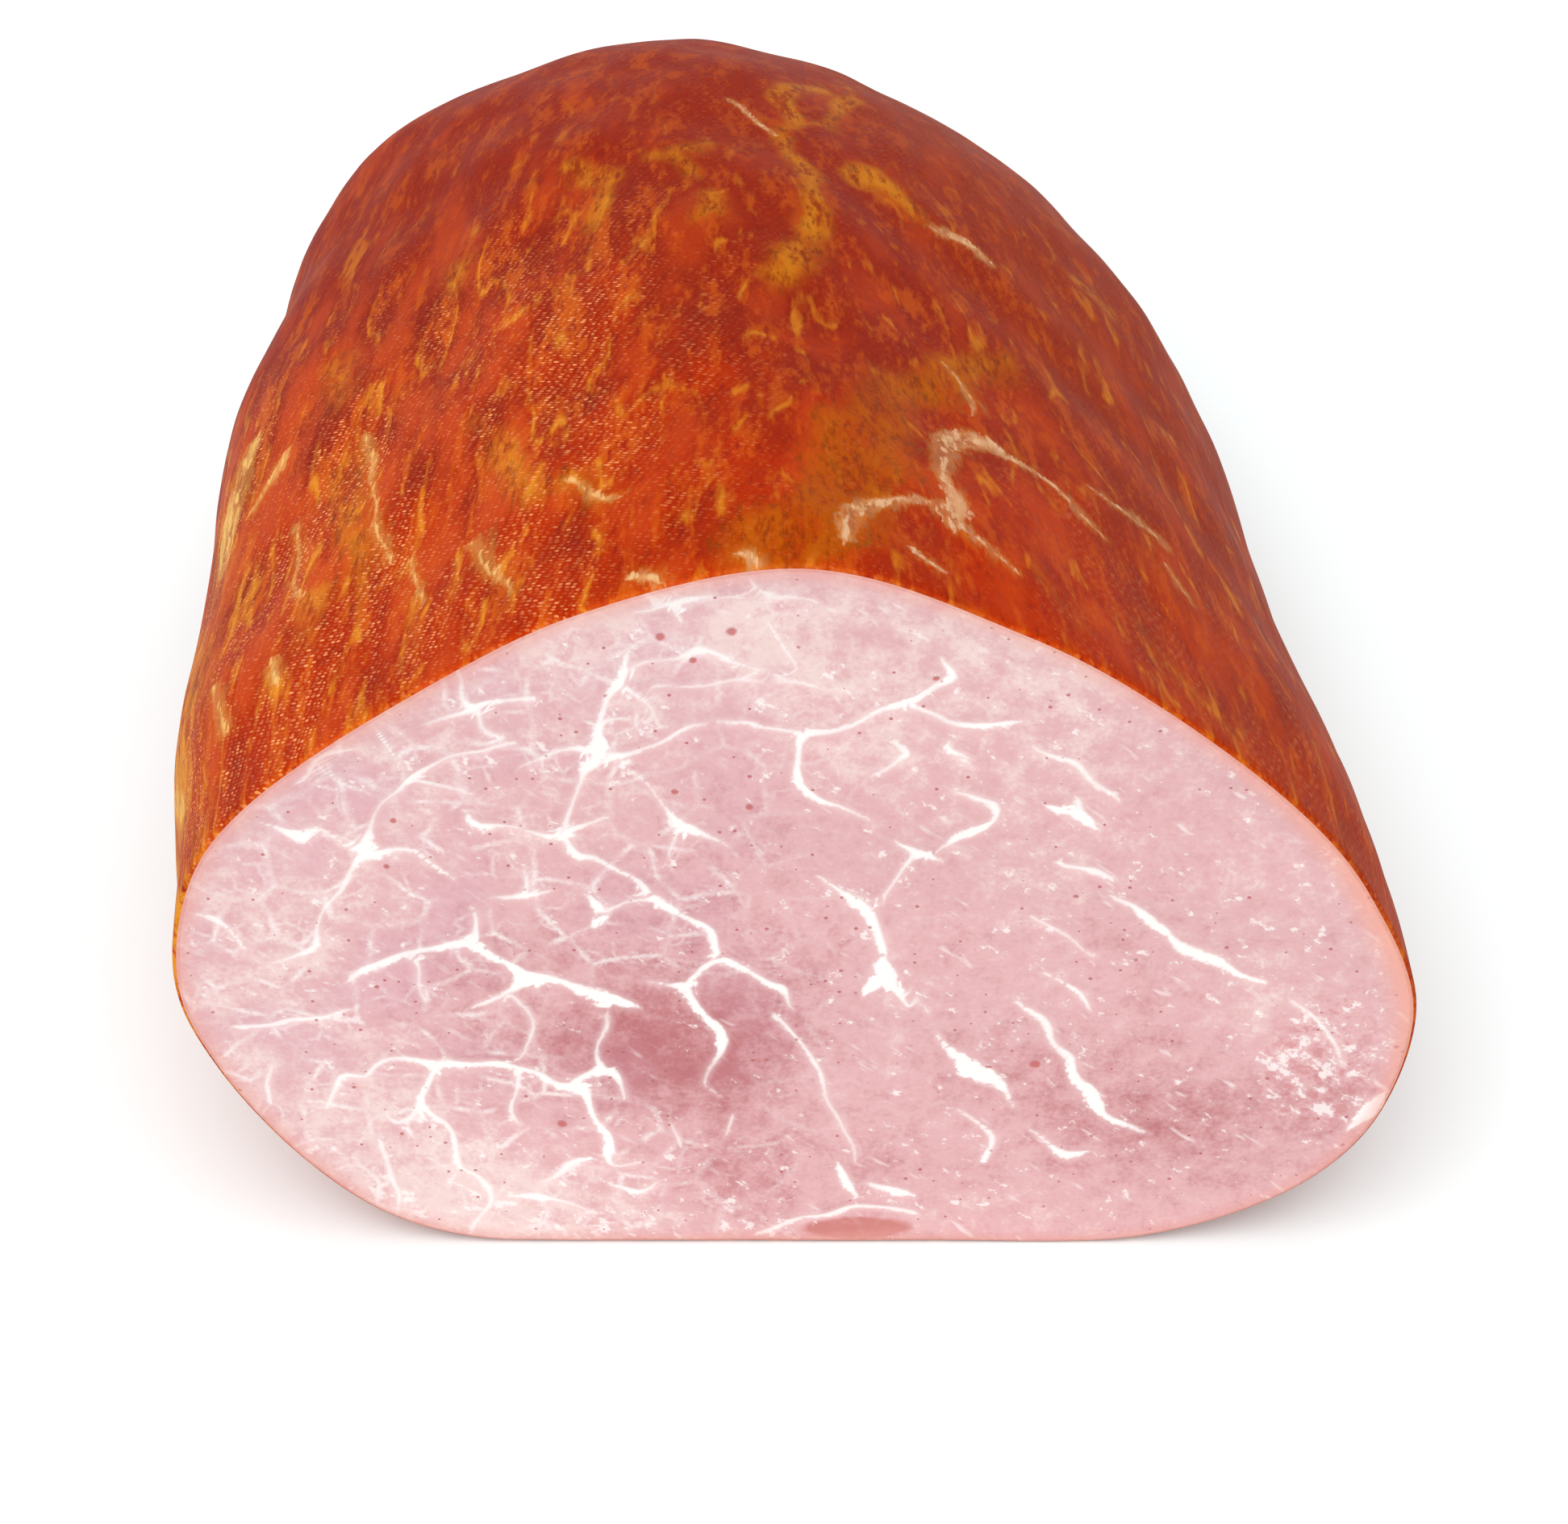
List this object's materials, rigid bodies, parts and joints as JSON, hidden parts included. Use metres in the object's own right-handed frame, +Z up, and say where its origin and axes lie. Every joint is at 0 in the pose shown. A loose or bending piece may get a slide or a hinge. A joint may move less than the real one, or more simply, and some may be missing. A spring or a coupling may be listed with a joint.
{
  "type": "smoked ham",
  "caption": "Boneless smoked ham with a flat pink cut face, a tapering reddish-brown smoked rind, a rounded closed end and a flattened underside that it rests on.",
  "frame": {"origin": "below the middle of the bounding box, on the surface that the ham rests on", "axes": "+Y from the cut face towards the closed end, along the ham; -Y is the way the cut face looks; +Z up; +X to the right as seen facing the cut"},
  "size_m": [0.1784, 0.235, 0.1291],
  "materials": {
    "smoked_ham": "moist smoked rind with a satin shine and a fine knitted net imprint; the flat cut face is pale pink meat with white fat seams"
  },
  "bodies": {
    "root": {"ham": "smoked_ham"}
  },
  "joints": []
}
